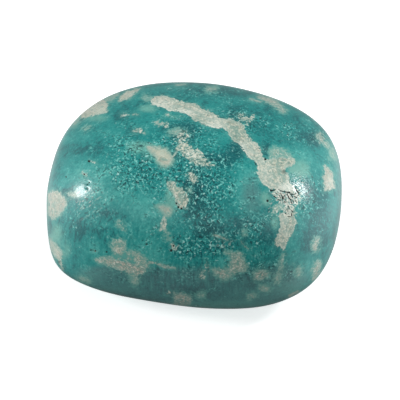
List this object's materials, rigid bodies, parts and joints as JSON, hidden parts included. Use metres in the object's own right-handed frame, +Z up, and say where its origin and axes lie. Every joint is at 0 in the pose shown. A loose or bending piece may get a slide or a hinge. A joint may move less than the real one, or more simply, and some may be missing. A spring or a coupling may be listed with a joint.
{
  "type": "amazonite gemstone",
  "caption": "Polished, cushion-shaped pebble of teal amazonite with ragged cream albite veins and patches, lying on a small flat spot.",
  "frame": {"origin": "on the plane of the flat spot, under the middle of the stone's length and depth", "axes": "+X along the stone's length, +Z up from the flat spot to the crown, -Y towards the side the picture shows"},
  "size_m": [0.0416, 0.0326, 0.0245],
  "materials": {
    "amazonite": "gloss"
  },
  "bodies": {
    "root": {"amazonite": "amazonite"}
  },
  "joints": []
}
